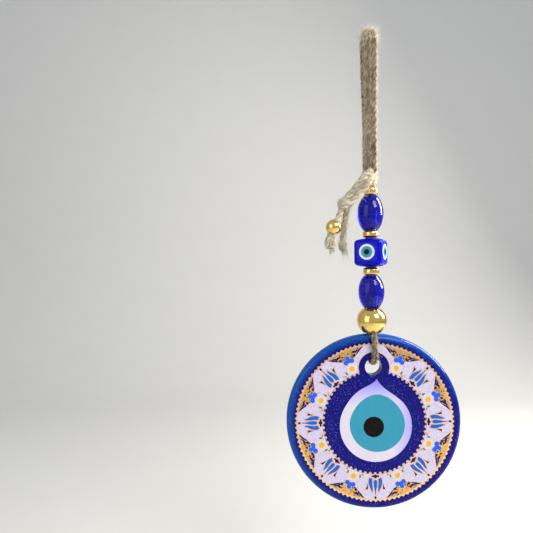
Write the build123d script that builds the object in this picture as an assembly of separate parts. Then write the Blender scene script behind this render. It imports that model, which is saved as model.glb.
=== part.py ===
"""Evil eye wall ornament: a glass disc with a fired-on tulip border, hung by doubled jute twine under a
string of glass and gilt beads, with a loop at the top for a hook.

Frame: +Z up, the disc faces -Y, and the origin is the middle of the hook that the loop hangs on.
Units are millimetres. Every z below is a height in that frame, so nearly all of them are negative.
"""

import os
from math import atan2, cos, degrees, radians, sin, sqrt, tan

from build123d import *

os.makedirs("parts", exist_ok=True)

# ---------------------------------------------------------------- driving dimensions
TWINE_R = 1.25  # jute twine, one strand
HOOK_R = 2.6  # the largest hook that the loop takes
STRAND_X = 1.3  # the strands of the doubled loop lie this far left and right of the middle
STRAND_Y = 1.35  # and this far in front and behind, where they enter the knot

LOOP_PIVOT = -50.9  # the ornament swings sideways here, on top of the knot
LOOP_END_R = 2.75  # the strands end in this rounding about the pivot
KNOT_DISH_R = 2.9  # which lies in this dish of the knot
KNOT_TOP, KNOT_BOTTOM = -51.9, -57.6
NECK_PIVOT = -58.1  # the string of beads bends fore and aft here, under the knot

CORE_R = 2.0  # the doubled twine, squeezed inside the beads
CORE_SLOT = 0.1  # between its two strands
BORE_R = 2.1  # every bead's bore
FIT = 0.15  # clearance round the knot's socket

TOP_SPACER = (-58.5, -61.6)  # top and bottom of each bead, from the knot down
UPPER_OVAL = (-61.8, -75.8)
UPPER_SPACER = (-76.0, -78.6)
CUBE = (-78.8, -90.6)
LOWER_SPACER = (-90.8, -93.7)
LOWER_OVAL = (-93.9, -107.2)
BALL = (-107.4, -116.8)
SPACER_R, SPACER_END_R = 3.2, 2.45
OVAL_R, OVAL_END_R = 5.15, 2.75
BALL_R = 5.9
BALL_MOUTH_R = 3.3  # the ball's bore flares to this at both ends

CUBE_SIDE = 11.2
CUBE_EDGE_R = 1.7
CUBE_TURN = -30.0  # how far the cube has turned on the twine at rest, in degrees
CUBE_EYE_UP = 0.2  # its eyes sit this far above its middle
CUBE_EYE_R = (3.1, 2.25, 1.1)  # white, iris, pupil

DISC_R, DISC_T = 35.0, 5.5
DISC_RIM_R = 2.2  # rounding of the rim
DISC_GAP = 0.5  # between the ball and the rim
DISC_TOP = BALL[1] - DISC_GAP
DISC_Z = DISC_TOP - DISC_R
FRONT = DISC_T / 2  # the printed face is at y = -FRONT
HOLE_UP = 21.8  # the hole's middle above the disc's
HOLE_R = 3.4
HOLE_EDGE_R = 0.8

# The eye, fused into the front. Middles are (right, up) from the disc's middle.
WHITE_C, WHITE_R, WHITE_TIP = (0.5, -1.5), 14.35, (1.1, 17.2)
WHITE_NECK = (6.2, 11.9), (-5.0, 13.2)  # the drop's sides pass through these on the way to its tip
IRIS_C, IRIS_R, IRIS_TOP = (1.1, -0.9), 11.0, 11.9
PUPIL_C, PUPIL_R = (-0.35, -1.9), 4.1
WHITE_DEEP, IRIS_DEEP, PUPIL_DEEP = 1.6, 1.0, 0.6

# The fired-on border, in three coats: a white ground, gilding, and colours. It is drawn for a slightly larger
# disc, and fired on at BORDER_SCALE of its drawing. Only the coats are as thick as they say.
BORDER_SCALE = 0.965
BAND_IN, BAND_OUT = 21.5, 31.8
NOTCH_UP = HOLE_UP / BORDER_SCALE  # the print stops round the hole
NOTCH_R = 6.6
GROUND, GILDING, COLOUR = 0.10, 0.05, 0.06  # thickness of each coat
LINE = 0.17  # how far the gilding shows round a painted shape
TULIP_LINE = 0.24  # round a tulip's
TULIP_ANGLES = [0, 45, 135, 180, 225, 270, 315]  # the hole takes the eighth one's place
FLOWER_ANGLES = [22.5 + 45 * k for k in range(8)]
TEETH, TOOTH_ROOT, TOOTH_TIP = 104, 32.1, 32.9  # round the border's outside
POINTS = 64  # round its inside

# The two loose ends of the twine, knotted together beside the beads.
TAIL_PIVOT = (-1.8, -5.0, -54.8)
TAIL_BEND = (-5.9, -4.8, -60.6)
TAIL_KNOT, TAIL_KNOT_R = (-11.0, -3.6, -65.5), (3.1, 2.6, 2.5)
TAIL_SIDE = (-0.77, 0, 0.64)  # from one strand towards the other
STRAND_GAP = 0.04
LEFT_PIVOT, LEFT_BALL, LEFT_END = (-12.4, -4.3, -67.8), (-15.6, -4.3, -74.6), (-17.2, -4.3, -78.0)
LEFT_KNOT, LEFT_KNOT_R = (-17.0, -4.3, -80.6), (2.3, 2.0, 3.0)
RIGHT_PIVOT, RIGHT_BEND, RIGHT_END = (-10.0, -2.2, -67.8), (-10.9, -0.4, -74.0), (-11.1, 1.2, -80.4)
RIGHT_KNOT, RIGHT_KNOT_R = (-11.1, 1.2, -81.6), (1.9, 1.8, 2.6)
TAIL_BALL_R, TAIL_BALL_H, TAIL_BORE_R = 3.1, 5.4, 1.35


# ---------------------------------------------------------------- helpers
def save(name, *shapes):
    """Writes one named sub-part, made of one or more separate solids."""
    solids = [solid for shape in shapes for solid in shape.solids()]
    whole = solids[0] if len(solids) == 1 else Compound(children=solids)
    export_step(whole, f"parts/{name}.step")


def rounding(points):
    """The largest tidy arc at each corner of a route: 0.45 of the shorter run over tan(half the turn)."""
    radii = []
    for a, b, c in zip(points, points[1:], points[2:]):
        before, after = Vector(*b) - Vector(*a), Vector(*c) - Vector(*b)
        half_turn = radians(before.get_angle(after)) / 2
        radii.append(0.45 * min(before.length, after.length) / tan(half_turn))
    return radii


def twine(name, points, radius=TWINE_R, radii=None):
    """Twine of one thickness along straight runs joined by tangent arcs."""
    radii = radii or rounding(points)
    path = FilletPolyline(*points, radius=radii) if radii else Line(*points)
    solid = sweep(Plane(origin=path @ 0, z_dir=path % 0) * Circle(radius), path=path)
    print(f"{name}: arcs {[round(r, 1) for r in radii]}, {path.length:.1f} mm long, "
          f"volume {solid.volume / (path.length * Circle(radius).area):.3f} of section times length")
    return solid


def lathe(span, radius_at, bore_r):
    """A bored bead; radius_at gives its radius from -1 at the bottom to 1 at the top."""
    top, bottom = span
    middle, half = (top + bottom) / 2, (top - bottom) / 2
    side = [(radius_at(k / 6), middle + half * k / 6) for k in range(-6, 7)]
    outline = Spline(*side) + Polyline(side[-1], (0, top), (0, bottom), side[0])
    solid = revolve(Plane.XZ * make_face(outline), Axis.Z)
    return solid - Pos(0, 0, middle) * Cylinder(bore_r, 4 * half)


def squashed_ball(centre, radii):
    return Pos(*centre) * scale(Sphere(1), by=radii)


def along_y(radius, z):
    """A long cylinder along Y at a height."""
    return Pos(0, 0, z) * Rot(90, 0, 0) * Cylinder(radius, 60)


# ---------------------------------------------------------------- the hanging loop and its knot
def loop_strand(name, x):
    """One strand of the doubled twine: up from the knot, over the hook and down behind it."""
    side = HOOK_R + TWINE_R + 0.35
    crown = HOOK_R + TWINE_R + 0.15
    front = [
        (x, -STRAND_Y, LOOP_PIVOT - LOOP_END_R),
        (x, -STRAND_Y, KNOT_TOP + 8),
        (x, -side, crown),
    ]
    back = [(px, -py, pz) for px, py, pz in reversed(front)]
    points = front + back
    neck = rounding(points)[0]
    strand = twine(name, points, radii=[neck, 0.97 * crown, 0.97 * crown, neck])
    past_pivot = Pos(0, 0, LOOP_PIVOT) * Box(20, 20, 200, align=(Align.CENTER, Align.CENTER, Align.MIN))
    return strand & (past_pivot + along_y(LOOP_END_R, LOOP_PIVOT))


def main_knot():
    """The overhand knot that closes the loop, dished on top and socketed underneath."""
    turns = [(3.35, KNOT_TOP), (3.6, -52.6), (3.3, -53.6), (3.6, -54.7), (3.4, -55.8), (2.9, -56.9)]
    foot = [turns[-1], (2.3, KNOT_BOTTOM), (0, KNOT_BOTTOM), (0, KNOT_TOP), turns[0]]
    knot = revolve(Plane.XZ * make_face(Spline(*turns) + Polyline(*foot)), Axis.Z)
    socket = Pos(0, 0, NECK_PIVOT) * Sphere(CORE_R + FIT)
    return knot - along_y(KNOT_DISH_R, LOOP_PIVOT) - socket


# ---------------------------------------------------------------- the doubled twine inside the beads
def core(top, bottom, round_top):
    """Two squeezed strands, side by side. A round top turns freely in what is above it."""
    middle, length = (top + bottom) / 2, top - bottom
    body = Pos(0, 0, middle) * Cylinder(CORE_R, length)
    if round_top:
        body += Pos(0, 0, top) * Sphere(CORE_R)
    return body - Pos(0, 0, middle) * Box(CORE_SLOT, 4 * CORE_R, length + 6 * CORE_R)


# ---------------------------------------------------------------- beads
def oval(span):
    taper = 1 - (OVAL_END_R / OVAL_R) ** 2
    return lathe(span, lambda s: OVAL_R * sqrt(1 - taper * s**2), BORE_R)


def spacer(span):
    """A short gilt ring with a rounded side."""
    return lathe(span, lambda s: SPACER_R - (SPACER_R - SPACER_END_R) * s**4, BORE_R)


def gilt_ball():
    """The large ball, flat at its ends, with a flared bore."""
    top, bottom = BALL
    half = (top - bottom) / 2
    bead = lathe(BALL, lambda s: sqrt(BALL_R**2 - (half * s) ** 2), BORE_R)
    flare = Cone(BORE_R, BALL_MOUTH_R, 1.4, align=(Align.CENTER, Align.CENTER, Align.MAX))
    return bead - Pos(0, 0, top) * flare - Pos(0, 0, bottom) * Rot(180, 0, 0) * flare


def glass_cube():
    """A glass cube with soft edges and swollen ends, and an eye let into each of its four sides."""
    half, straight = CUBE_SIDE / 2, CUBE_SIDE - 0.7
    end = (CUBE[0] - CUBE[1]) / 2
    body = fillet(Box(CUBE_SIDE, CUBE_SIDE, straight).edges(), CUBE_EDGE_R)
    swell = end - straight / 2
    dome_r = (half**2 + swell**2) / (2 * swell)
    for side in (1, -1):
        dome = Pos(0, 0, side * (end - dome_r)) * Sphere(dome_r)
        body += dome & Pos(0, 0, side * end) * Cylinder(half - 0.9, 2 * swell)
    body -= Cylinder(BORE_R, 3 * CUBE_SIDE)
    white_r, iris_r, pupil_r = CUBE_EYE_R
    whites, irises, pupils = [], [], []
    for quarter in range(4):
        out = Rot(0, 0, 90 * quarter) * Pos(0, -half, CUBE_EYE_UP) * Rot(90, 0, 0)
        white = out * Pos(0, 0, -0.3) * Cylinder(white_r, 0.8)
        iris = out * Cylinder(iris_r, 0.36)
        pupil = out * Pos(0, 0, 0.12) * Cylinder(pupil_r, 0.28)
        body -= white
        whites.append(white - iris - pupil)
        irises.append(iris - pupil)
        pupils.append(pupil)
    place = Pos(0, 0, sum(CUBE) / 2) * Rot(0, 0, CUBE_TURN)
    return [[place * solid for solid in group] for group in ([body], whites, irises, pupils)]


# ---------------------------------------------------------------- the twine through the disc's hole
HOLE_Z = DISC_Z + HOLE_UP
RIM_PIVOT = DISC_TOP - DISC_T / 2  # the disc rocks fore and aft about the middle of its rim
CORD_IN_HOLE = HOLE_Z + HOLE_R - FIT - TWINE_R  # and turns in its own plane about the twine
LEG_Y = FRONT + GROUND + GILDING + COLOUR + FIT + TWINE_R
NIP_R = 0.7  # the twine where the ball nips it against the rim
NIP_BEND_R = 3.06 + NIP_R  # it bends over the rim at this radius


def disc_cord():
    """One strand: from the ball down in front of the rim, through the hole and up behind."""
    low = RIM_PIVOT - 0.6
    legs = [(0, -LEG_Y, low), (0, -LEG_Y, CORD_IN_HOLE), (0, LEG_Y, CORD_IN_HOLE), (0, LEG_Y, low)]
    cord = twine("disc_cord", legs, radii=[2.2, 2.2])
    for side in (-1, 1):
        over = [
            (0, side * NIP_BEND_R * sin(radians(a)), RIM_PIVOT + NIP_BEND_R * cos(radians(a)))
            for a in (15, 45, 75)
        ]
        bend = ThreePointArc(*over)
        cord += sweep(Plane(origin=over[0], z_dir=bend % 0) * Circle(NIP_R), path=bend)
        drop = Line(over[-1], (0, side * LEG_Y, low))
        cord += sweep(Plane(origin=over[-1], z_dir=drop % 0) * Circle(NIP_R), path=drop)
        cord += Pos(*over[-1]) * Sphere(NIP_R)
        cord += Pos(0, side * LEG_Y, low) * Sphere(TWINE_R)
    return cord


# ---------------------------------------------------------------- the glass disc and its eye
def on_disc(sketch, height, thick):
    """Raises a flat drawing from the disc's face: it starts height above the glass."""
    face = Plane(origin=(0, -FRONT - height, DISC_Z), x_dir=(1, 0, 0), z_dir=(0, -1, 0))
    return extrude(face * sketch, amount=thick)


def drop_outline():
    """The white drop: most of a circle, drawn up to a point towards the hole."""
    cx, cy = WHITE_C
    shoulder = radians(28)
    dx, dy = WHITE_R * cos(shoulder), WHITE_R * sin(shoulder)
    left, right = (cx - dx, cy + dy), (cx + dx, cy + dy)
    bowl = ThreePointArc(left, (cx, cy - WHITE_R), right)
    right_neck, left_neck = WHITE_NECK
    up = Spline(right, right_neck, WHITE_TIP, tangents=[(-sin(shoulder), cos(shoulder)), (-0.45, 1)])
    down = Spline(WHITE_TIP, left_neck, left, tangents=[(-0.7, -1), (-sin(shoulder), -cos(shoulder))])
    return make_face(bowl + up + down)


def iris_outline():
    """Round below, a little drawn up above."""
    cx, cy = IRIS_C
    r, top = IRIS_R, IRIS_TOP
    bowl = ThreePointArc((cx - r, cy), (cx, cy - r), (cx + r, cy))
    right = Bezier((cx + r, cy), (cx + r, cy + r / 2), (cx + r / 2, cy + top), (cx, cy + top))
    left = Bezier((cx, cy + top), (cx - r / 2, cy + top), (cx - r, cy + r / 2), (cx - r, cy))
    return make_face(bowl + right + left)


def disc_and_eye():
    disc = Rot(90, 0, 0) * fillet(Cylinder(DISC_R, DISC_T).edges(), DISC_RIM_R)
    disc = Pos(0, 0, DISC_Z) * disc - along_y(HOLE_R, HOLE_Z)
    mouths = [e for e in disc.edges().filter_by(GeomType.CIRCLE) if abs(e.radius - HOLE_R) < 0.01]
    disc = fillet(mouths, HOLE_EDGE_R)
    white = on_disc(drop_outline(), -WHITE_DEEP, WHITE_DEEP)
    iris = on_disc(iris_outline(), -IRIS_DEEP, IRIS_DEEP)
    pupil = on_disc(Pos(*PUPIL_C) * Circle(PUPIL_R), -PUPIL_DEEP, PUPIL_DEEP)
    return disc - white, white - iris, iris - pupil, pupil


# ---------------------------------------------------------------- the fired-on border
# Each motif is drawn on the +X radius, so x is the distance from the disc's middle.
def polar(radius, angle):
    return (radius * cos(radians(angle)), radius * sin(radians(angle)))


def mirrored(shape):
    """A shape and its mirror image across the +X radius."""
    return [shape, mirror(shape, about=Plane.XZ)]


def leaf(start, end, one_side, other_side):
    """A pointed leaf between two points, each side bulging through its own point."""
    return make_face(Spline(start, one_side, end) + Spline(end, other_side, start))


def ring(outer, inner):
    return Circle(outer) - Circle(inner)


def tulip():
    """Three petals, the calyx they stand in, a bud at the tip and a blade each side."""
    middle = make_face(
        Spline((30.0, 0.16), (26.9, 0.58), (25.0, 0.78), (24.0, 0.52), (23.75, 0))
        + Spline((23.75, 0), (24.0, -0.52), (25.0, -0.78), (26.9, -0.58), (30.0, -0.16))
        + Line((30.0, -0.16), (30.0, 0.16))
    )
    side = make_face(
        Spline((22.75, 2.4), (24.2, 2.85), (25.9, 2.68), (27.4, 2.05), (29.2, 1.4))
        + Spline((29.2, 1.4), (27.0, 1.08), (25.0, 1.26), (23.5, 1.12))
        + Line((23.5, 1.12), (22.75, 2.4))
    )
    crown = make_face(
        Polyline((23.3, 0), (22.75, 0.55), (22.5, 1.6), (21.9, 1.45), (21.95, 0.7), (21.6, 0.4),
                 (21.6, -0.4), (21.95, -0.7), (21.9, -1.45), (22.5, -1.6), (22.75, -0.55), close=True)
    )
    bud = leaf((30.45, 0), (31.7, 0), (31.1, 0.46), (31.1, -0.46))
    blade = make_face(
        Spline((25.1, 3.3), (26.6, 3.6), (27.9, 4.5)) + Spline((27.9, 4.5), (27.55, 3.7), (27.8, 3.15))
        + Spline((27.8, 3.15), (26.4, 3.1), (25.1, 3.3))
    )
    return [middle, *mirrored(side)], crown, bud, mirrored(blade)


def daisy():
    """Seven white petals round a yellow middle, between two green leaves."""
    middle = Pos(23.9, 0) * Circle(1.15)
    petals = [Pos(23.9, 0) * Pos(*polar(1.5, 360 / 7 * k)) * Circle(0.85) for k in range(7)]
    whole = Sketch() + petals + [Pos(23.9, 0) * Circle(1.6)]
    green = leaf(polar(22.3, 6.4), polar(23.9, 6.7), polar(23.1, 7.6), polar(23.0, 5.9))
    return whole - middle, middle, mirrored(green)


def trefoil():
    lobes = [Pos(27.1, 1.3) * Circle(0.98), Pos(27.1, -1.3) * Circle(0.98), Pos(28.6, 0) * Circle(0.95)]
    return Sketch() + lobes + [Pos(27.5, 0) * Circle(0.95)]


def fan():
    """The gilt field at the border's edge behind each trefoil, and the shapes painted on it."""
    edge = [polar(r, a) for r, a in ((BAND_OUT, 15.0), (30.1, 11.6), (28.6, 7.8), (27.6, 4.2), (27.2, 0))]
    below = [(x, -y) for x, y in reversed(edge)]
    field = make_face(Spline(*edge) + Spline(*below) + ThreePointArc(below[-1], (BAND_OUT, 0), edge[0]))
    blade = leaf(polar(28.85, 8.1), polar(31.6, 14.1), polar(30.25, 11.35), polar(30.8, 10.6))
    wave = make_face(
        Spline(polar(31.35, 11.0), polar(30.35, 9.4), polar(29.75, 7.9), polar(29.95, 6.3), polar(29.5, 3.8))
        + Spline(polar(29.5, 3.8), polar(30.4, 5.0), polar(30.75, 6.4), polar(30.6, 7.8), polar(30.95, 9.4),
                 polar(31.35, 11.0))
    )
    lobe = Pos(*polar(28.85, 6.1)) * Circle(0.52)
    crescent = leaf(polar(31.6, 10.2), polar(31.15, 6.4), polar(31.05, 8.4), polar(31.65, 8.2))
    return field, [*mirrored(blade), *mirrored(wave), *mirrored(lobe)], mirrored(crescent)


def inner_point():
    """One of the gilt spearheads that point at the eye."""
    half = [(20.55, 0), (21.1, 0.68), (21.3, 0.68), (21.25, 0.22), (21.7, 0.34)]
    other = [(x, -y) for x, y in reversed(half[1:])]
    return make_face(Polyline(*half, *other, close=True)) & Circle(BAND_IN)


def outer_teeth():
    step = 360 / TEETH
    saw = [polar(TOOTH_ROOT if k % 2 else TOOTH_TIP, k * step / 2) for k in range(2 * TEETH)]
    return make_face(Polyline(*saw, close=True)) - Circle(BAND_OUT)


def dots():
    """Gilt dots that lead from the trefoils round to the tulips, and bars at the inner edge."""
    trail = ((25.9, 6.4, 0.42), (26.9, 8.3, 0.3), (27.9, 9.9, 0.2), (28.9, 11.5, 0.2), (29.8, 13.2, 0.2))
    spots = [Pos(*polar(r, a)) * Circle(size) for r, a, size in trail]
    bar = Rot(0, 0, 11.2) * leaf((21.7, 0), (23.4, 0.15), (22.6, 0.46), (22.6, -0.38))
    return [copy for spot in [*spots, bar] for copy in mirrored(spot)]


def chevron():
    """A dark notch each side of a daisy, at the inner edge."""
    return Rot(0, 0, 8.8) * make_face(Polyline((21.75, 0), (22.6, 0.5), (22.15, 0), (22.6, -0.5), close=True))


def gilding(shapes, line=LINE):
    """What shows as a line round painted shapes, in short straight runs, joined where the lines meet."""
    runs = 72
    joined = Sketch()
    for shape in shapes:
        edge = offset(shape, amount=line).wire()
        joined += make_face(Polyline(*[edge @ (k / runs) for k in range(runs)], close=True))
    return [Sketch() + face for face in joined.faces()]


def border():
    """Every piece of the border by name: (drawings, height above the glass, thickness)."""
    petals, crown, bud, blades = tulip()
    white_petals, yellow, greens = daisy()
    field, darks, crescents = fan()
    blue = trefoil()
    clear = Pos(0, NOTCH_UP) * Circle(NOTCH_R)
    fields = [Rot(0, 0, a) * field for a in FLOWER_ANGLES]

    def round_disc(shapes, angles):
        """Copies of each shape at each angle, less what would lie in the notch round the hole."""
        copies = [Rot(0, 0, a) * shape for shape in shapes for a in angles]
        near_hole = Pos(0, NOTCH_UP) * Circle(NOTCH_R + 7)
        return [c - clear if (c & near_hole).area else c for c in copies if (c - clear).area]

    def coat(shapes, angles, height, thick):
        return round_disc(shapes, angles), height, thick

    on_gilding = GROUND + GILDING
    ground = Sketch() + (ring(BAND_OUT, BAND_IN) - clear - (Sketch() + fields))
    rim = ring(BAND_OUT + 0.4, BAND_IN) & (Pos(0, NOTCH_UP) * ring(NOTCH_R, NOTCH_R - 0.25))
    tulip_shapes = [*petals, crown, bud, *blades]
    return {
        "print_white_ground": ([ground], 0, GROUND),
        "gilt_fans": coat([field], FLOWER_ANGLES, 0, GROUND),
        "gilt_outer_teeth": ([outer_teeth()], 0, GROUND),
        "gilt_inner_points": coat([inner_point()], [360 / POINTS * k for k in range(POINTS)], 0, GROUND),
        "gilt_hole_rim": ([rim], 0, GROUND),
        "gilt_tulip_lines": coat(gilding(tulip_shapes, TULIP_LINE), TULIP_ANGLES, GROUND, GILDING),
        "gilt_flower_lines": coat(gilding([blue, *greens]), FLOWER_ANGLES, GROUND, GILDING),
        "gilt_dots": coat(dots(), FLOWER_ANGLES, GROUND, GILDING),
        "tulip_petals": coat(petals, TULIP_ANGLES, on_gilding, COLOUR),
        "tulip_crowns": coat([crown], TULIP_ANGLES, on_gilding, COLOUR),
        "tulip_buds": coat([bud], TULIP_ANGLES, on_gilding, COLOUR),
        "tulip_blades": coat(blades, TULIP_ANGLES, on_gilding, COLOUR),
        "daisy_petals": coat([white_petals], FLOWER_ANGLES, GROUND, COLOUR),
        "daisy_middles": coat([yellow], FLOWER_ANGLES, GROUND, COLOUR),
        "green_leaves": coat(greens, FLOWER_ANGLES, on_gilding, COLOUR),
        "blue_trefoils": coat([blue], FLOWER_ANGLES, on_gilding, COLOUR),
        "fan_scrolls": coat(darks, FLOWER_ANGLES, GROUND, COLOUR),
        "fan_crescents": coat(crescents, FLOWER_ANGLES, GROUND, COLOUR),
        "edge_chevrons": coat(mirrored(chevron()), FLOWER_ANGLES, GROUND, COLOUR),
    }


# ---------------------------------------------------------------- the two loose ends
def tail_strand(name, side):
    """From the big knot to the small one; side is 1 for the left strand and -1 for the right."""
    shift = Vector(*TAIL_SIDE) * (side * (TWINE_R + STRAND_GAP))
    stops = (TAIL_PIVOT, TAIL_BEND, TAIL_KNOT)
    return twine(name, [tuple(Vector(*stop) + shift) for stop in stops])


def tail_ball():
    """The small gilt ball on the left end, turned to lie along the twine."""
    half = TAIL_BALL_H / 2
    bead = lathe((half, -half), lambda s: sqrt(TAIL_BALL_R**2 - (half * s) ** 2), TAIL_BORE_R)
    lean = atan2(LEFT_PIVOT[0] - LEFT_BALL[0], LEFT_PIVOT[2] - LEFT_BALL[2])
    return Pos(*LEFT_BALL) * Rot(0, degrees(lean), 0) * bead


def free_end(name, points, knot_centre, knot_radii):
    """A loose end under the small knot, with a rounded top to swing on, and its own end knot."""
    strand = twine(name, points) + Pos(*points[0]) * Sphere(TWINE_R)
    return strand, squashed_ball(knot_centre, knot_radii) - strand


# ---------------------------------------------------------------- build and write everything
save("loop_cord_left", loop_strand("loop_cord_left", -STRAND_X))
save("loop_cord_right", loop_strand("loop_cord_right", STRAND_X))
save("main_knot", main_knot())
save("string_cord", core(NECK_PIVOT, BALL[0] + 0.4, round_top=True))
save("swivel_cord", core(BALL[0] + 0.2, BALL[1] + 1.3, round_top=False))

save("top_spacer", spacer(TOP_SPACER))
save("upper_oval_bead", oval(UPPER_OVAL))
save("upper_spacer", spacer(UPPER_SPACER))
save("lower_spacer", spacer(LOWER_SPACER))
save("lower_oval_bead", oval(LOWER_OVAL))
save("gilt_ball", gilt_ball())
for name, solids in zip(("cube_bead", "cube_eye_whites", "cube_eye_irises", "cube_eye_pupils"), glass_cube()):
    save(name, *solids)

save("disc_cord", disc_cord())
for name, solid in zip(("glass_disc", "eye_white", "eye_iris", "eye_pupil"), disc_and_eye()):
    save(name, solid)
for name, (drawings, height, thick) in border().items():
    fired = [scale(Sketch() + drawing, by=BORDER_SCALE) for drawing in drawings]
    save(name, *[on_disc(drawing, height, thick) for drawing in fired])

left_upper = tail_strand("tail_cord_left_upper", 1)
right_upper = tail_strand("tail_cord_right_upper", -1)
joint_balls = [Pos(*pivot) * Sphere(TWINE_R + FIT) for pivot in (LEFT_PIVOT, RIGHT_PIVOT)]
left_lower, left_knot = free_end("tail_cord_left_lower", [LEFT_PIVOT, LEFT_END], LEFT_KNOT, LEFT_KNOT_R)
right_route = [RIGHT_PIVOT, RIGHT_BEND, RIGHT_END]
right_lower, right_knot = free_end("tail_cord_right_lower", right_route, RIGHT_KNOT, RIGHT_KNOT_R)
save("tail_cord_left_upper", left_upper)
save("tail_cord_right_upper", right_upper)
save("tail_knot", squashed_ball(TAIL_KNOT, TAIL_KNOT_R) - left_upper - right_upper - joint_balls)
save("tail_cord_left_lower", left_lower)
save("tail_end_knot_left", left_knot)
save("tail_ball", tail_ball())
save("tail_cord_right_lower", right_lower)
save("tail_end_knot_right", right_knot)
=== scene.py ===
"""Looks of the hanging evil eye ornament: twisted jute twine and its knots, pressed glass beads,
mirror-gilt beads, and a glass disc with a fused eye and a fired-on border of raised gold and enamel.

The scene is in metres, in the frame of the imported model: +Z up, the disc faces -Y, the hook at the origin.
Sizes and routes of the ornament's pieces are given in millimetres, and MM turns them into metres.
"""

from math import cos, pi, radians, sin, sqrt

import bpy
import numpy as np
from mathutils import Matrix, Vector


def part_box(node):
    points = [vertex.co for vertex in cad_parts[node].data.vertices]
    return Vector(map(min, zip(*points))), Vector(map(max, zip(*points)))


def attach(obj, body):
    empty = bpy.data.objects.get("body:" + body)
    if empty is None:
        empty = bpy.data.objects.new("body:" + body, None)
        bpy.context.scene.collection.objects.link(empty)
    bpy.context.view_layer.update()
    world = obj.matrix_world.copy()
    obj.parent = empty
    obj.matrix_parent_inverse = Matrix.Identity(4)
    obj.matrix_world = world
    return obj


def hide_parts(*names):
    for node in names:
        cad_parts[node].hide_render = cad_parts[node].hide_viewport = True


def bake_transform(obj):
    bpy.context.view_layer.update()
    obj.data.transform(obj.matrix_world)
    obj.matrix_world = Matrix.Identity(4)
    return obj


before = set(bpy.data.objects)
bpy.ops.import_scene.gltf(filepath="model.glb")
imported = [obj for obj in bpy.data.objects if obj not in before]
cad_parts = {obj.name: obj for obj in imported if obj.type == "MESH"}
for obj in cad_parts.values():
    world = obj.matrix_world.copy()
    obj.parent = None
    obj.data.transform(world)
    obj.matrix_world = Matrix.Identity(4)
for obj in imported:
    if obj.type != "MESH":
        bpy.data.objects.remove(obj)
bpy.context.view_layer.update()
MM = 0.001
rng = np.random.default_rng(7)  # every stray fibre is drawn from this one, in order

# ---------------------------------------------------------------- sizes of the CAD model, in millimetres
TWINE_R = 1.25
STRAND_X, STRAND_Y = 1.3, 1.35
LOOP_SIDE, LOOP_CROWN = 4.2, 4.0
LOOP_FOOT, LOOP_NECK = -53.65, -43.9
KNOT_Z = -54.7
TAIL_PIVOT, TAIL_BEND, TAIL_KNOT = (-1.8, -5.0, -54.8), (-5.9, -4.8, -60.6), (-11.0, -3.6, -65.5)
TAIL_SIDE, STRAND_GAP = (-0.77, 0, 0.64), 0.04
LEFT_PIVOT, LEFT_END, LEFT_KNOT = (-12.4, -4.3, -67.8), (-17.2, -4.3, -78.0), (-17.0, -4.3, -80.6)
RIGHT_PIVOT, RIGHT_BEND, RIGHT_END = (-10.0, -2.2, -67.8), (-10.9, -0.4, -74.0), (-11.1, 1.2, -80.4)
RIGHT_KNOT = (-11.1, 1.2, -81.6)
LEG_Y, CORD_IN_HOLE, RIM_PIVOT = 4.36, -128.5, -120.05
DISC_Z = -152.3
OVAL_R, OVAL_END_R, SPACER_R, SPACER_END_R, BORE_R = 5.15, 2.75, 3.2, 2.45, 2.1


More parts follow.
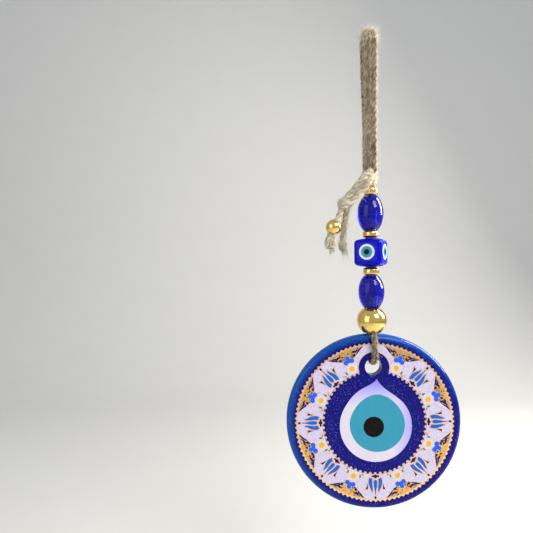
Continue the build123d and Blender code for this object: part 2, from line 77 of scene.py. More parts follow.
# ---------------------------------------------------------------- material tools
class Shader:
    """A material under construction: add() makes a node, and sets its inputs to values or other outputs."""

    def __init__(self, name):
        self.material = bpy.data.materials.new(name)
        self.material.use_nodes = True
        self.tree = self.material.node_tree
        self.tree.nodes.clear()

    def add(self, kind, settings=None, **inputs):
        node = self.tree.nodes.new("ShaderNode" + kind)
        for key, value in (settings or {}).items():
            setattr(node, key, value)
        for key, value in inputs.items():
            socket = self.find(node, key)
            if isinstance(value, bpy.types.NodeSocket):
                self.tree.links.new(value, socket)
            else:
                socket.default_value = value
        return node

    @staticmethod
    def find(node, key):
        """An input by its name with spaces as underscores, or by its place, as in in0."""
        if key[:2] == "in" and key[2:].isdigit():
            return node.inputs[int(key[2:])]
        return node.inputs[key.replace("_", " ")]

    def noise(self, vector, scale, detail=3.0, rough=0.5):
        node = self.add("TexNoise", Vector=vector, Scale=scale, Detail=detail, Roughness=rough)
        return node.outputs["Fac"]

    def ramp(self, value, *stops):
        """A colour ramp from (position, colour) pairs."""
        node = self.add("ValToRGB", Fac=value)
        ramp = node.color_ramp
        while len(ramp.elements) < len(stops):
            ramp.elements.new(0.5)
        for element, (position, colour) in zip(ramp.elements, stops):
            element.position = position
            element.color = (*colour, 1)
        return node.outputs["Color"]

    def math(self, operation, a, b):
        return self.add("Math", {"operation": operation}, in0=a, in1=b).outputs[0]

    def multiply_add(self, a, b, c):
        """a times b plus c, for vectors."""
        node = self.add("VectorMath", {"operation": "MULTIPLY_ADD"}, in0=a, in1=b, in2=c)
        return node.outputs["Vector"]

    def mix(self, factor, a, b):
        """Colour a where the factor is 0, colour b where it is 1."""
        node = self.add("Mix", {"data_type": "RGBA"})
        for socket, value in ((node.inputs[0], factor), (node.inputs[6], a), (node.inputs[7], b)):
            if isinstance(value, bpy.types.NodeSocket):
                self.tree.links.new(value, socket)
            else:
                socket.default_value = value if isinstance(value, float) else (*value, 1)
        return node.outputs[2]

    def bump(self, height, strength, distance):
        return self.add("Bump", Height=height, Strength=strength, Distance=distance).outputs["Normal"]

    def stretch(self, value, low, high):
        """The value taken from 0 at low to 1 at high, and no further."""
        return self.add("MapRange", Value=value, From_Min=low, From_Max=high).outputs[0]

    def disc_radius(self, place):
        """How far a point is from the disc's axis, in metres."""
        from_middle = self.multiply_add(place, (1, 0, 1), (0, 0, -DISC_Z * MM))
        return self.add("VectorMath", {"operation": "LENGTH"}, in0=from_middle).outputs["Value"]

    def place(self):
        """Where a point is in the row frame, in metres."""
        return self.add("TexCoord").outputs["Object"]

    def finish(self, shader):
        output = self.add("OutputMaterial")
        self.tree.links.new(shader, output.inputs["Surface"])
        return self.material


def jute(name, dark, middle, pale):
    """Jute fibre: long streaks along the ply from dark to pale, matt, with a soft sheen."""
    s = Shader(name)
    uv = s.add("UVMap").outputs["UV"]
    along = s.add("Mapping", Vector=uv, Scale=(9.0, 0.75, 1.0)).outputs["Vector"]
    fine = s.add("Mapping", Vector=uv, Scale=(42.0, 1.3, 1.0)).outputs["Vector"]
    streaks = s.noise(along, 1.0, 4.0, 0.7)
    threads = s.noise(fine, 1.0, 3.0, 0.6)
    patches = s.noise(s.place(), 230.0, 2.0)
    blend = s.math("ADD", s.math("MULTIPLY", streaks, 0.72), s.math("MULTIPLY", patches, 0.28))
    colour = s.ramp(blend, (0.38, dark), (0.50, middle), (0.62, pale))
    height = s.math("ADD", streaks, s.math("MULTIPLY", threads, 0.6))
    skin = s.add(
        "BsdfPrincipled", Base_Color=colour, Roughness=0.82, Normal=s.bump(height, 1.0, 0.00045),
        Sheen_Weight=0.5, Sheen_Roughness=0.35, Sheen_Tint=(1.0, 0.93, 0.78, 1), Specular_IOR_Level=0.25,
    )
    return s.finish(skin.outputs[0])


def hair_material():
    """Stray jute fibres, a little see-through against the light, coloured pale tan to near-white cream; the
    near-white is painted sunlight on the fuzz.
    """
    s = Shader("sunlit_jute_hair")
    # Partly painted light: the tan end of this ramp is the fibres' own colour, and the near-white end is the
    # sunlit look of the fuzz.
    colour = s.ramp(s.noise(s.place(), 900.0), (0.30, (0.66, 0.55, 0.38)), (0.50, (0.97, 0.94, 0.80)))
    body = s.add("BsdfPrincipled", Base_Color=colour, Roughness=0.6, Sheen_Weight=0.3)
    glow = s.add("BsdfTranslucent", Color=colour)
    return s.finish(s.add("MixShader", in0=0.4, in1=body.outputs[0], in2=glow.outputs[0]).outputs[0])


def cobalt_glass(name, clear, speckle, colour, tint, painted_rim_reflection=False):
    """Cobalt glass with fine bubbles, whose near-white middles are painted glints. clear is the share of it
    that light passes through, in the tint;
    speckle is how strongly the bubbles show, and the rim switch paints a steel-blue reflection of the sky on
    the disc's upper left edge."""
    s = Shader(name)
    place = s.place()
    bubbles = s.add("TexVoronoi", Vector=place, Scale=1500.0).outputs["Distance"]
    seeds = s.ramp(bubbles, (0.10, (1, 1, 1)), (0.32, (0, 0, 0)))
    cloud = s.ramp(s.noise(place, 190.0, 5.0, 0.7), (0.40, (0, 0, 0)), (0.72, (1, 1, 1)))
    drift = s.noise(place, 45.0, 3.0)
    spots = s.math("MULTIPLY", s.math("MULTIPLY", seeds, cloud), speckle)
    grain = s.ramp(
        s.noise(place, 1500.0, 3.0, 0.7),
        (0.38, tuple(0.25 * c for c in colour)),
        (0.62, tuple(1.5 * c for c in colour)),
    )
    deep = s.mix(drift, grain, colour)
    # Painted reflection: towards the upper left, the disc's edge is mixed to steel blue, standing in for the
    # sky seen in the rounded rim.
    if painted_rim_reflection:
        apart = s.add("SeparateXYZ", Vector=place).outputs
        slant = s.math("SUBTRACT", apart["Z"], apart["X"])
        upper_left = s.stretch(slant, (DISC_Z - 34) * MM, (DISC_Z + 22) * MM)
        edge = s.stretch(s.disc_radius(place), 31.9 * MM, 34.2 * MM)
        deep = s.mix(s.math("MULTIPLY", edge, upper_left), deep, (0.006, 0.085, 0.40))
    # Bubbles with painted glints: each bubble's middle is painted near white as a reflection, and its rim is
    # bright blue.
    bubble_glint_colour = s.ramp(bubbles, (0.06, (0.80, 0.90, 1.0)), (0.20, (0.08, 0.14, 0.95)))
    body_colour = s.mix(spots, deep, bubble_glint_colour)
    ripple = s.bump(s.noise(place, 130.0, 2.0), 0.12, 0.0004)
    body = s.add(
        "BsdfPrincipled", Base_Color=body_colour, Roughness=0.05, Normal=ripple, Specular_IOR_Level=0.12,
    )
    glass = s.add(
        "BsdfPrincipled", Base_Color=s.mix(spots, tint, (0.25, 0.35, 1.0)), Roughness=0.02, IOR=1.52,
        Transmission_Weight=1.0, Normal=ripple,
    )
    return s.finish(s.add("MixShader", in0=clear, in1=body.outputs[0], in2=glass.outputs[0]).outputs[0])


def milk_glass(name, colour, shade, tip=None):
    """Opaque fused glass with faint swirls. tip is the heights between which cobalt comes to shine through,
    as it also does along the right edge."""
    s = Shader(name)
    place = s.place()
    drawn_out = s.add("Mapping", Vector=place, Scale=(1.0, 1.0, 0.35)).outputs["Vector"]
    swirl = s.noise(drawn_out, 420.0, 4.0, 0.6)
    tone = s.mix(s.math("MULTIPLY", swirl, 0.7), colour, shade)
    if tip is not None:
        apart = s.add("SeparateXYZ", Vector=place).outputs
        rise = s.math("POWER", s.stretch(apart["Z"], *tip), 1.3)
        right = s.math("MULTIPLY", s.stretch(apart["X"], 7 * MM, 15.5 * MM), 0.62)
        tone = s.mix(s.math("MAXIMUM", rise, right), tone, (0.20, 0.17, 0.92))
    skin = s.add(
        "BsdfPrincipled", Base_Color=tone, Roughness=0.10, Specular_IOR_Level=0.15,
        Normal=s.bump(s.noise(place, 150.0, 2.0), 0.10, 0.0004),
    )
    return s.finish(skin.outputs[0])


def pupil_glass():
    """Black glass with faint brown clouds."""
    s = Shader("pupil_glass")
    clouds = s.noise(s.place(), 700.0, 4.0)
    tone = s.ramp(clouds, (0.4, (0.002, 0.002, 0.002)), (0.75, (0.012, 0.006, 0.003)))
    skin = s.add("BsdfPrincipled", Base_Color=tone, Roughness=0.08, Specular_IOR_Level=0.10)
    return s.finish(skin.outputs[0])


def mirror_gilt(name, colour, roughness, dents):
    """Polished gilding with shallow dents and worn, browner patches."""
    s = Shader(name)
    place = s.place()
    wear = s.ramp(s.noise(place, 500.0, 5.0, 0.6), (0.45, (0, 0, 0)), (0.75, (1, 1, 1)))
    tone = s.mix(s.math("MULTIPLY", wear, 0.45), colour, tuple(0.55 * c for c in colour))
    rough = s.math("ADD", s.math("MULTIPLY", wear, 0.16), roughness)
    skin = s.add(
        "BsdfPrincipled", Base_Color=tone, Metallic=1.0, Roughness=rough,
        Normal=s.bump(s.noise(place, 320.0, 3.0), dents, 0.0003),
    )
    return s.finish(skin.outputs[0])


def fired_gold(name, colour, grain):
    """Fired-on gold: warm, half polished, with a fine granular relief."""
    s = Shader(name)
    place = s.place()
    relief = s.bump(s.noise(place, grain, 3.0, 0.6), 0.5, 0.00012)
    tone = s.mix(s.noise(place, 650.0, 2.0), colour, (colour[0], colour[1] * 0.80, colour[2] * 0.62))
    skin = s.add("BsdfPrincipled", Base_Color=tone, Metallic=0.85, Roughness=0.28, Normal=relief)
    return s.finish(skin.outputs[0])


def fan_gilding():
    """The fans' gold: grains of it over dark blue enamel, closer together towards the disc's edge."""
    s = Shader("fan_gold")
    place = s.place()
    drift = s.add("TexNoise", Vector=place, Scale=700.0).outputs["Color"]
    bent = s.multiply_add(drift, (1.1 * MM, 1.1 * MM, 1.1 * MM), place)
    cells = s.add("TexVoronoi", {"feature": "DISTANCE_TO_EDGE"}, Vector=bent, Scale=850.0)
    grains = cells.outputs["Distance"]
    outward = s.stretch(s.disc_radius(place), 25.5 * MM, 31.0 * MM)
    line = s.math("ADD", s.math("MULTIPLY", s.math("POWER", outward, 2.0), 0.34), 0.06)
    bare = s.stretch(s.math("SUBTRACT", grains, line), -0.03, 0.03)
    gold = s.mix(s.noise(place, 1100.0, 2.0), (0.95, 0.60, 0.20), (0.62, 0.30, 0.06))
    skin = s.add(
        "BsdfPrincipled", Base_Color=s.mix(bare, gold, (0.016, 0.004, 0.10)), Roughness=0.3,
        Metallic=s.math("MULTIPLY", s.math("SUBTRACT", 1.0, bare), 0.8), Specular_IOR_Level=0.3,
        Normal=s.bump(grains, 0.35, 0.00012),
    )
    return s.finish(skin.outputs[0])


def enamel(name, colour, shade):
    """Fired-on enamel: glossy, a little uneven in tone and surface."""
    s = Shader(name)
    place = s.place()
    mottle = s.ramp(s.noise(place, 1400.0, 3.0), (0.4, (0, 0, 0)), (0.65, (1, 1, 1)))
    tone = s.mix(mottle, colour, shade)
    skin = s.add(
        "BsdfPrincipled", Base_Color=tone, Roughness=0.25, Specular_IOR_Level=0.2,
        Normal=s.bump(s.noise(place, 900.0, 2.0), 0.25, 0.0001),
    )
    return s.finish(skin.outputs[0])


def paper_grey(name, colour):
    """The studio's pale, matt sweep."""
    s = Shader(name)
    tone = s.mix(s.noise(s.place(), 30.0, 4.0), colour, tuple(0.97 * c for c in colour))
    return s.finish(s.add("BsdfPrincipled", Base_Color=tone, Roughness=0.9).outputs[0])


JUTE = jute("jute_twine", (0.052, 0.024, 0.011), (0.24, 0.140, 0.078), (0.62, 0.50, 0.34))
# Painted light: a much paler copy of the same jute, used for the tail, its knots and loose ends, stands in
# for strong sun on them.
SUNLIT_JUTE = jute("sunlit_jute_twine", (0.20, 0.110, 0.055), (0.78, 0.69, 0.52), (0.98, 0.95, 0.84))
HAIR = hair_material()
DISC_GLASS = cobalt_glass(
    "disc_glass", 0.12, 0.75, (0.0010, 0.0008, 0.20), (0.02, 0.05, 0.60), painted_rim_reflection=True
)
BEAD_GLASS = cobalt_glass("bead_glass", 0.55, 0.60, (0.0015, 0.0015, 0.42), (0.004, 0.008, 0.70))
CUBE_GLASS = cobalt_glass("cube_glass", 0.08, 0.30, (0.0015, 0.0015, 0.52), (0.006, 0.010, 0.62))
DROP_TIP = ((DISC_Z + 6.0) * MM, (DISC_Z + 17.5) * MM)
WHITE = milk_glass("white_glass", (0.76, 0.70, 0.80), (0.66, 0.61, 0.74), DROP_TIP)
CUBE_WHITE = milk_glass("cube_white_glass", (0.80, 0.82, 0.90), (0.62, 0.72, 0.88))
TURQUOISE = milk_glass("turquoise_glass", (0.045, 0.33, 0.47), (0.03, 0.27, 0.42))
PUPIL = pupil_glass()
GILT = mirror_gilt("mirror_gilt", (0.95, 0.66, 0.20), 0.05, 0.16)
SPACER_GILT = mirror_gilt("spacer_gilt", (0.92, 0.62, 0.22), 0.12, 0.35)
PRINT_GOLD = fired_gold("print_gold", (1.0, 0.68, 0.34), 3200.0)
FAN_GOLD = fan_gilding()
PRINT_WHITE = enamel("print_white", (0.68, 0.63, 0.84), (0.56, 0.52, 0.76))
DAISY_WHITE = enamel("daisy_white", (0.74, 0.69, 0.74), (0.62, 0.58, 0.68))
PRINT_BLUE = enamel("print_blue", (0.010, 0.15, 0.66), (0.008, 0.10, 0.52))
TREFOIL_BLUE = enamel("trefoil_blue", (0.010, 0.14, 0.86), (0.012, 0.10, 0.70))
DARK_BLUE = enamel("print_dark_blue", (0.010, 0.004, 0.11), (0.020, 0.003, 0.055))
PALE_BLUE = enamel("print_pale_blue", (0.30, 0.36, 0.76), (0.22, 0.28, 0.62))
YELLOW = enamel("print_yellow", (0.86, 0.40, 0.012), (0.88, 0.50, 0.03))
GREEN = enamel("print_green", (0.17, 0.22, 0.03), (0.10, 0.13, 0.02))


# ---------------------------------------------------------------- mesh tools
def mesh_object(name, vertices, faces, material, uvs=None):
    """A smooth-shaded mesh in the scene. uvs is one (u, v) for each vertex."""
    mesh = bpy.data.meshes.new(name)
    mesh.from_pydata([tuple(v) for v in vertices], [], faces)
    mesh.polygons.foreach_set("use_smooth", [True] * len(mesh.polygons))
    if uvs is not None:
        layer = mesh.uv_layers.new(name="UVMap")
        corner = np.zeros(len(mesh.loops), int)
        mesh.loops.foreach_get("vertex_index", corner)
        layer.data.foreach_set("uv", np.asarray(uvs, np.float32)[corner].ravel())
    mesh.materials.append(material)
    obj = bpy.data.objects.new(name, mesh)
    bpy.context.scene.collection.objects.link(obj)
    return obj


def joined(parts):
    """Vertices, faces and uvs of several (vertices, faces, uvs), as one."""
    vertices, faces, uvs, count = [], [], [], 0
    for part_vertices, part_faces, part_uvs in parts:
        vertices.append(part_vertices)
        uvs.append(part_uvs)
        faces.extend([tuple(i + count for i in face) for face in part_faces])
        count += len(part_vertices)
    return np.concatenate(vertices), faces, np.concatenate(uvs)


def grid_faces(rings, sides):
    """Quads of a tube of so many rings, each of so many points."""
    return [
        (r * sides + k, r * sides + (k + 1) % sides, (r + 1) * sides + (k + 1) % sides, (r + 1) * sides + k)
        for r in range(rings - 1)
        for k in range(sides)
    ]


def smooth_line(route):
    """The smooth line of a route in millimetres: a NURBS spline with the route as its control points."""
    curve = bpy.data.curves.new("route", "CURVE")
    curve.dimensions = "3D"
    spline = curve.splines.new("NURBS")
    spline.points.add(len(route) - 1)
    for point, place in zip(spline.points, route):
        point.co = (*[c * MM for c in place], 1)
    spline.order_u = 3
    spline.use_endpoint_u = True
    spline.resolution_u = 40
    holder = bpy.data.objects.new("route", curve)
    mesh = bpy.data.meshes.new_from_object(holder)
    line = np.array([v.co for v in mesh.vertices])
    bpy.data.objects.remove(holder)
    bpy.data.curves.remove(curve)
    bpy.data.meshes.remove(mesh)
    return line


def even(line, step):
    """The same line, with points evenly spaced about step apart, in metres."""
    gaps = np.linalg.norm(np.diff(line, axis=0), axis=1)
    at = np.concatenate([[0], np.cumsum(gaps)])
    wanted = np.linspace(0, at[-1], max(4, int(round(at[-1] / step)) + 1))
    return np.stack([np.interp(wanted, at, line[:, k]) for k in range(3)], axis=1), wanted


def carried_frames(line):
    """Along a line: its direction and two sideways directions that don't spin."""
    forward = np.gradient(line, axis=0)
    forward /= np.linalg.norm(forward, axis=1)[:, None]
    start = np.array([1.0, 0, 0]) if abs(forward[0][0]) < 0.9 else np.array([0, 1.0, 0])
    side = np.zeros_like(line)
    side[0] = start - forward[0] * (start @ forward[0])
    for i in range(len(line)):
        if i:
            side[i] = side[i - 1] - forward[i] * (side[i - 1] @ forward[i])
        side[i] /= np.linalg.norm(side[i])
    return forward, side, np.cross(forward, side)


def wobble(at, seed, period):
    """A smooth wandering value between about -1 and 1, along a line."""
    phase = np.random.default_rng(seed).uniform(0, 2 * pi, 3)
    turns = 2 * pi * at / (period * MM)
    return (np.sin(turns + phase[0]) + np.sin(1.7 * turns + phase[1]) + np.sin(0.6 * turns + phase[2])) / 3


# ---------------------------------------------------------------- twine
TWIST = 8.5  # millimetres along the twine for one turn of its plies
PLIES = 3
PLY_REACH, PLY_R = 0.53, 0.50  # how far out a ply runs and how thick it is, as shares of the twine's radius
PLY_SIDES = 12


def ply_tubes(line, seed, radius=TWINE_R, swell=None):
    """The plies of a length of twine, twisted round its line; swell scales its thickness along the line."""
    line, at = even(line, 0.33 * MM)
    _, side, up = carried_frames(line)
    size = radius * MM * (swell(at / at[-1]) if swell else np.ones(len(at)))
    tubes = []
    for ply in range(PLIES):
        turn = 2 * pi * (at / (TWIST * MM) + ply / PLIES) + 0.22 * wobble(at, seed + ply, 23)
        reach = size * (PLY_REACH + 0.05 * wobble(at, seed + 10 + ply, 11))
        centre = line + side * (reach * np.cos(turn))[:, None] + up * (reach * np.sin(turn))[:, None]
        thick = size * (PLY_R + 0.05 * wobble(at, seed + 20 + ply, 7))
        round_ply = np.arange(PLY_SIDES) * 2 * pi / PLY_SIDES
        groove = 1 + 0.07 * np.cos(5 * round_ply[None, :] + turn[:, None] * 2)
        spread = thick[:, None] * groove
        angle = round_ply[None, :] + turn[:, None]
        points = (
            centre[:, None]
            + side[:, None] * (spread * np.cos(angle))[..., None]
            + up[:, None] * (spread * np.sin(angle))[..., None]
        )
        across = np.tile(round_ply / (2 * pi) + ply * 1.37, (len(at), 1))
        down = np.tile((at / MM + seed * 3.1)[:, None], (1, PLY_SIDES))
        uvs = np.stack([across, down], axis=-1).reshape(-1, 2)
        faces = grid_faces(len(at), PLY_SIDES)
        last_ring = (len(at) - 1) * PLY_SIDES
        faces.append(tuple(reversed(range(PLY_SIDES))))
        faces.append(tuple(range(last_ring, last_ring + PLY_SIDES)))
        tubes.append((points.reshape(-1, 3), faces, uvs))
    return tubes


def hair_tubes(line, count, longest, lift=0.75, radius=TWINE_R, thick=0.06, droop=0.25, sideways=0.0):
    """Stray fibres that start on the twine's surface and curl away; the longest are rare.

    lift is how steeply they leave the twine, thick is their radius at the root in millimetres, and droop is
    how far they sag, as a share of their length. sideways, up to 1, leaves fewer of them at the front and
    the back.
    """
    line, _ = even(line, 0.5 * MM)
    forward, side, up = carried_frames(line)
    tubes = []
    rings, sides = 6, 3
    corner = np.arange(sides) * 2 * pi / sides
    for _ in range(count):
        i = int(rng.integers(0, len(line)))
        turn = rng.uniform(0, 2 * pi)
        out = side[i] * cos(turn) + up[i] * sin(turn)
        if abs(out[0]) < sideways * rng.uniform():
            continue
        across = np.cross(forward[i], out)
        length = longest * MM * (0.12 + 0.88 * rng.uniform() ** 3)
        along = forward[i] * rng.choice([-1, 1])
        heading = out * lift * rng.uniform(0.35, 1.1) + along * rng.uniform(0.3, 1.2)
        heading = heading + across * rng.normal(0, 0.35)
        heading /= np.linalg.norm(heading)
        curl = np.cross(heading, rng.normal(0, 1, 3)) * rng.uniform(0.1, 0.9)
        t = np.linspace(0, 1, rings)[:, None]
        start = line[i] + out * radius * MM * 0.82
        path = start + length * (heading * t + curl * t**2 * 0.5)
        path[:, 2] -= droop * length * (t[:, 0] ** 2)
        taper = thick * MM * (1.0 - 0.75 * t)
        one = np.cross(heading, (0.31, 0.87, 0.39))
        one /= np.linalg.norm(one)
        two = np.cross(heading, one)
        ring = one * np.cos(corner)[:, None] + two * np.sin(corner)[:, None]
        points = path[:, None] + taper[:, None] * ring[None]
        uvs = np.zeros((rings * sides, 2))
        tubes.append((points.reshape(-1, 3), grid_faces(rings, sides), uvs))
    return tubes


def line_length(line):
    return float(np.linalg.norm(np.diff(line, axis=0), axis=1).sum())


def place_piece(obj, where):
    """Rides on one body when where is a body's name; when where is (body, body, start, end) in mm, the piece
    stays fixed where it is.
    """
    if isinstance(where, str):
        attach(obj, where)
        return
    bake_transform(obj)


def twine(
    name, line, seed, where, stands_for, fuzz, longest,
    swell=None, radius=TWINE_R, material=JUTE, sideways=0.0,
):
    """A length of twine and its stray fibres, as two pieces. fuzz is fibres for each millimetre."""
    vertices, faces, uvs = joined(ply_tubes(line, seed, radius, swell))
    body = mesh_object(name, vertices, faces, material, uvs)
    count = int(fuzz * line_length(line) / MM)
    hairs = hair_tubes(line, count, longest, radius=radius, sideways=sideways)
    fibres = mesh_object(f"{name}_fibres", *joined(hairs)[:2], HAIR)
    for piece in (body, fibres):
        place_piece(piece, where)
    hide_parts(stands_for)
    return body, fibres


def knot_line(centre, wide, tall, lean=0.0, turn=0.0):
    """The middle line of a pulled-tight overhand knot about the vertical, so wide and so tall."""
    t = np.linspace(0, 2 * pi, 161)
    x = (np.sin(t) + 2 * np.sin(2 * t)) / 3
    y = (np.cos(t) - 2 * np.cos(2 * t)) / 3
    points = np.stack([x * wide / 2, y * wide / 2, -np.sin(3 * t) * tall / 2], axis=1)
    spin = Matrix.Rotation(lean, 3, "Y") @ Matrix.Rotation(turn, 3, "Z")
    return (points @ np.array(spin).T + np.array(centre)) * MM


# ---------------------------------------------------------------- the loop
def loop_route(x, bow):
    """The route of one strand of the loop. bow pushes it sideways half-way down."""
    front = [
        (x, -STRAND_Y, LOOP_FOOT),
        (x, -STRAND_Y, LOOP_NECK),
        (x + bow, -2.2, -30.0),
        (x, -3.4, -11.0),
        (x, -LOOP_SIDE, LOOP_CROWN),
    ]
    return front + [(px + bow * 0.4, -py, pz) for px, py, pz in reversed(front)]


LOOP_JOINT = ("hanging_loop", "knot", (0, 0, -46.5), (0, 0, -52.5))
for side, x, bow, seed in (("left", -STRAND_X, 0.18, 11), ("right", STRAND_X, -0.15, 47)):
    line = smooth_line(loop_route(x, bow))
    strand, fibres = twine(
        f"loop_twine_{side}", line, seed, LOOP_JOINT, f"loop_cord_{side}",
        fuzz=60.0, longest=2.6, sideways=1.0,
    )
    crown = line[np.abs(line[:, 2] - LOOP_CROWN * MM) < 5 * MM]
    hairs = hair_tubes(crown, 520, 4.6, lift=1.3, thick=0.09, droop=0.0)
    hairs += hair_tubes(line[: len(line) // 2], 9, 9.0, lift=1.3, thick=0.05, droop=0.1)
    tuft = mesh_object(f"loop_tuft_{side}", *joined(hairs)[:2], HAIR)
    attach(tuft, "hanging_loop")


# ---------------------------------------------------------------- the knots
def knot(name, centre, wide, tall, where, stands_for, seed, core, radius=TWINE_R, lean=0.0, turn=0.0):
    """An overhand knot of twine round its core line, with its stray fibres."""
    line = knot_line(centre, wide, tall, lean, turn)
    hairs = hair_tubes(line, int(18 * line_length(line) / MM), 2.6, radius=radius)
    vertices, faces, uvs = joined(ply_tubes(line, seed, radius) + ply_tubes(core, seed + 5, radius))
    body = mesh_object(name, vertices, faces, SUNLIT_JUTE, uvs)
    fibres = mesh_object(f"{name}_fibres", *joined(hairs)[:2], HAIR)
    for piece in (body, fibres):
        place_piece(piece, where)
    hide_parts(stands_for)


knot(
    "main_knot_twine", (0, 0, KNOT_Z), 4.7, 3.6, "knot", "main_knot", 71,
    core=smooth_line([(0.3, -0.9, -51.6), (-0.5, 0.2, -54.4), (0.2, 0.4, -57.3)]),
    turn=0.5,
)
knot(
    "tail_knot_twine", TAIL_KNOT, 3.7, 2.6, "tail", "tail_knot", 83,
    core=smooth_line([(-9.8, -3.8, -63.6), (-11.0, -3.6, -65.5), (-11.7, -3.9, -67.7)]),
    lean=0.6, turn=0.2,
)
knot(
    "left_end_knot_twine", LEFT_KNOT, 3.1, 3.3, "tail_left_end", "tail_end_knot_left", 97,
    core=smooth_line([(-17.1, -4.3, -77.8), (-17.2, -4.2, -80.6), (-16.6, -4.4, -83.6)]),
    radius=1.1, turn=1.1,
)
knot(
    "right_end_knot_twine", RIGHT_KNOT, 2.0, 2.4, "tail_right_end", "tail_end_knot_right", 109,
    core=smooth_line([(-11.0, 1.1, -80.0), (-11.2, 1.3, -81.8), (-10.8, 1.2, -84.0)]),
    radius=0.95, turn=0.7,
)


# ---------------------------------------------------------------- the loose ends
def shifted(points, side):
    """The loose ends' common route, moved to one strand's side of it: 1 is left, -1 is right."""
    step = Vector(TAIL_SIDE) * side * (TWINE_R + STRAND_GAP)
    return [tuple(Vector(p) + step) for p in points]


TAIL_JOINT = ("knot", "tail", (-1.2, -3.5, -54.2), (-4.2, -5.0, -58.5))
for name, side, seed in (("left", 1, 121), ("right", -1, 133)):
    in_knot = (0.4 - 0.5 * side, -1.9, -53.0 + 0.9 * side)
    route = [in_knot, *shifted([TAIL_PIVOT, TAIL_BEND, TAIL_KNOT], side)]
    twine(
        f"tail_twine_{name}", smooth_line(route), seed, TAIL_JOINT, f"tail_cord_{name}_upper",
        fuzz=34.0, longest=2.8, radius=1.35, material=SUNLIT_JUTE,
    )

LEFT_JOINT = ("tail", "tail_left_end", (-11.9, -4.2, -66.7), (-13.1, -4.3, -69.9))
left_route = [(-11.5, -4.0, -65.9), LEFT_PIVOT, (-14.6, -4.3, -72.4), LEFT_END]
twine(
    "left_end_twine", smooth_line(left_route), 141, LEFT_JOINT, "tail_cord_left_lower",
    fuzz=16.0, longest=2.2, radius=1.2, material=SUNLIT_JUTE,
)
RIGHT_JOINT = ("tail", "tail_right_end", (-10.0, -2.4, -66.7), (-10.3, -1.8, -69.9))
right_route = [(-10.3, -2.9, -65.9), RIGHT_PIVOT, RIGHT_BEND, RIGHT_END]
twine(
    "right_end_twine", smooth_line(right_route), 153, RIGHT_JOINT, "tail_cord_right_lower",
    fuzz=34.0, longest=3.4, material=SUNLIT_JUTE,
)
for name, body, foot, tip, longest in (
    ("left_frayed_tip", "tail_left_end", (-16.8, -4.3, -82.0), (-16.4, -4.5, -83.8), 2.2),
    ("right_frayed_tip", "tail_right_end", (-10.9, 1.2, -82.4), (-10.3, 1.0, -84.4), 3.2),
):
    brush = hair_tubes(np.array([foot, tip]) * MM, 420, longest, lift=0.5, radius=0.8, droop=0.7)
    fray = mesh_object(name, *joined(brush)[:2], HAIR)
    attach(fray, body)


# ---------------------------------------------------------------- the strand through the disc
def nipped(share):
    """Thinner at both ends, where the ball nips the twine against the rim."""
    near_end = np.minimum(share, 1 - share)
    return 0.62 + 0.38 * np.clip((near_end - 0.05) / 0.12, 0, 1)


front_half = [
    (0, -0.9, -115.6),
    (0, -3.3, -116.9),
    (0, -LEG_Y, RIM_PIVOT),
    (0.1, -LEG_Y - 0.15, CORD_IN_HOLE - 0.2),
]
disc_route = front_half + [(-x, -y, z) for x, y, z in reversed(front_half)]
twine(
    "disc_twine", smooth_line(disc_route), 171, "disc_sling", "disc_cord",
    fuzz=12.0, longest=2.4, swell=nipped,
)


# ---------------------------------------------------------------- beads
def lathe(name, profile, material, wave, segments=96):
    """A turned piece from a closed section of (radius, height) points in millimetres, about the vertical
    through the origin. wave is how far it is out of round, as a share of its radius."""
    around = np.arange(segments) * 2 * pi / segments
    rings = []
    for radius, height in profile:
        uneven = 1 + wave * (np.cos(3 * around + height) + 0.6 * np.cos(5 * around - 1.3 * height))
        x, y = radius * uneven * np.cos(around), radius * uneven * np.sin(around)
        rings.append(np.stack([x, y, np.full(segments, height)], axis=1))
    count = len(profile)
    faces = [
        (r * segments + k, r * segments + (k + 1) % segments,
         (r + 1) % count * segments + (k + 1) % segments, (r + 1) % count * segments + k)
        for r in range(count)
        for k in range(segments)
    ]
    return mesh_object(name, np.concatenate(rings) * MM, faces, material)


def bead_profile(node, side_radius, lip):
    """A bead's section, as tall as its CAD node. side_radius gives its radius at a share of the way up,
    from -1 at the bottom to 1 at the top, and lip is the rounding of its mouths."""
    low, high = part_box(node)
    bottom, top = low.z / MM, high.z / MM
    middle, half_height = (bottom + top) / 2, (top - bottom) / 2
    side, steps = [], 32
    for k in range(steps + 1):
        share = -1 + 2 * k / steps
        side.append((side_radius(share), middle + half_height * share))
    end_r = side[-1][0]
    edge = [(end_r - lip * (1 - cos(a)), top - lip * 0.2 + lip * 0.2 * sin(a)) for a in (0.8, 1.57)]
    mouth = [(BORE_R + lip * (1 - sin(a)), top - lip * (1 - cos(a))) for a in (0.0, 0.5, 1.0, 1.57)]
    upper = edge + mouth
    lower = [(r, 2 * middle - h) for r, h in reversed(upper)]
    return side + upper + lower


def oval_side(share):
    """An oval bead's radius at a share of the way up: part of an ellipse."""
    return OVAL_R * sqrt(1 - (1 - (OVAL_END_R / OVAL_R) ** 2) * share**2)


def spacer_side(share):
    """A spacer's radius at a share of the way up: nearly straight, and rounded at the ends."""
    return SPACER_R - (SPACER_R - SPACER_END_R) * share**4


for node, body in (("upper_oval_bead", "upper_oval"), ("lower_oval_bead", "lower_oval")):
    bead = lathe(f"{node}_glass", bead_profile(node, oval_side, 0.35), BEAD_GLASS, wave=0.004)
    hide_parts(node)
    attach(bead, body)
for node in ("top_spacer", "upper_spacer", "lower_spacer"):
    bead = lathe(f"{node}_gilt", bead_profile(node, spacer_side, 0.2), SPACER_GILT, wave=0.002)
    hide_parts(node)
    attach(bead, node)


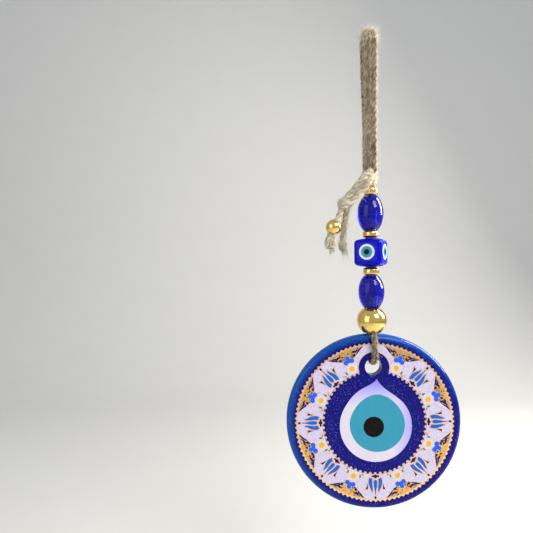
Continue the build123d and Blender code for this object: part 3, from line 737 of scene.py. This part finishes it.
# ---------------------------------------------------------------- materials of the kept CAD nodes
for node, material in {
    "string_cord": JUTE, "swivel_cord": JUTE,
    "gilt_ball": GILT, "tail_ball": GILT,
    "cube_bead": CUBE_GLASS, "cube_eye_whites": CUBE_WHITE, "cube_eye_irises": TURQUOISE,
    "cube_eye_pupils": PUPIL,
    "glass_disc": DISC_GLASS, "eye_white": WHITE, "eye_iris": TURQUOISE, "eye_pupil": PUPIL,
    "print_white_ground": PRINT_WHITE, "gilt_fans": FAN_GOLD, "gilt_outer_teeth": PRINT_GOLD,
    "gilt_inner_points": PRINT_GOLD, "gilt_hole_rim": PRINT_GOLD, "gilt_tulip_lines": PRINT_GOLD,
    "gilt_flower_lines": PRINT_GOLD, "gilt_dots": PRINT_GOLD,
    "tulip_petals": PRINT_BLUE, "tulip_crowns": DARK_BLUE, "tulip_buds": DARK_BLUE,
    "tulip_blades": DARK_BLUE, "daisy_petals": DAISY_WHITE, "daisy_middles": YELLOW,
    "green_leaves": GREEN, "blue_trefoils": TREFOIL_BLUE, "fan_scrolls": DARK_BLUE,
    "fan_crescents": PALE_BLUE, "edge_chevrons": DARK_BLUE,
}.items():
    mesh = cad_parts[node].data
    mesh.materials.clear()
    mesh.materials.append(material)


# ---------------------------------------------------------------- camera, light and stage
MIDDLE = (0, 0, -0.1)
CAMERA_PLACE = (-0.0423, -0.172, -0.0898)
CAMERA_ROLL, CAMERA_LENS = 0.69, 28.7  # degrees, and millimetres
camera_data = bpy.data.cameras.new("camera")
camera_data.lens = CAMERA_LENS
camera = bpy.data.objects.new("camera", camera_data)
camera.location = CAMERA_PLACE
camera.rotation_euler = (radians(90), radians(CAMERA_ROLL), 0)
bpy.context.scene.collection.objects.link(camera)
bpy.context.scene.camera = camera


def area_light(name, place, size, power, colour):
    """A rectangular light, so many metres wide and high, which looks at the middle of the ornament."""
    light = bpy.data.lights.new(name, "AREA")
    light.shape = "RECTANGLE"
    light.size, light.size_y = size
    light.energy = power
    light.color = colour
    obj = bpy.data.objects.new(name, light)
    obj.location = place
    obj.rotation_euler = (Vector(MIDDLE) - Vector(place)).to_track_quat("-Z", "Y").to_euler()
    bpy.context.scene.collection.objects.link(obj)


area_light("key", (0.30, -0.45, 0.30), (0.30, 0.30), 2.8, (1.0, 0.97, 0.92))
area_light("side", (0.40, 0.06, 0.10), (0.16, 0.34), 4.6, (1.0, 0.95, 0.84))
area_light("fill", (-0.50, -0.40, 0.05), (0.40, 0.50), 0.8, (0.90, 0.95, 1.0))


def sweep_backdrop():
    """A pale floor that curves up into a backdrop."""
    front, floor, back, top, bend, half_width = -1.2, -0.26, 0.60, 1.2, 0.25, 1.6
    curve = np.linspace(0, pi / 2, 17)
    side = [(front, floor)]
    side += [(back - bend + bend * sin(a), floor + bend - bend * cos(a)) for a in curve]
    side += [(back, top)]
    vertices = [(x, y, z) for x in (-half_width, half_width) for y, z in side]
    count = len(side)
    faces = [(k, k + 1, count + k + 1, count + k) for k in range(count - 1)]
    return mesh_object("studio_sweep", vertices, faces, paper_grey("studio_paper", (0.62, 0.62, 0.615)))


sweep_backdrop()
world = bpy.data.worlds.new("studio")
world.use_nodes = True
sky = world.node_tree.nodes["Background"]
sky.inputs["Color"].default_value = (0.88, 0.91, 0.96, 1)
sky.inputs["Strength"].default_value = 0.58
bpy.context.scene.world = world
bpy.context.scene.view_settings.view_transform = "Standard"
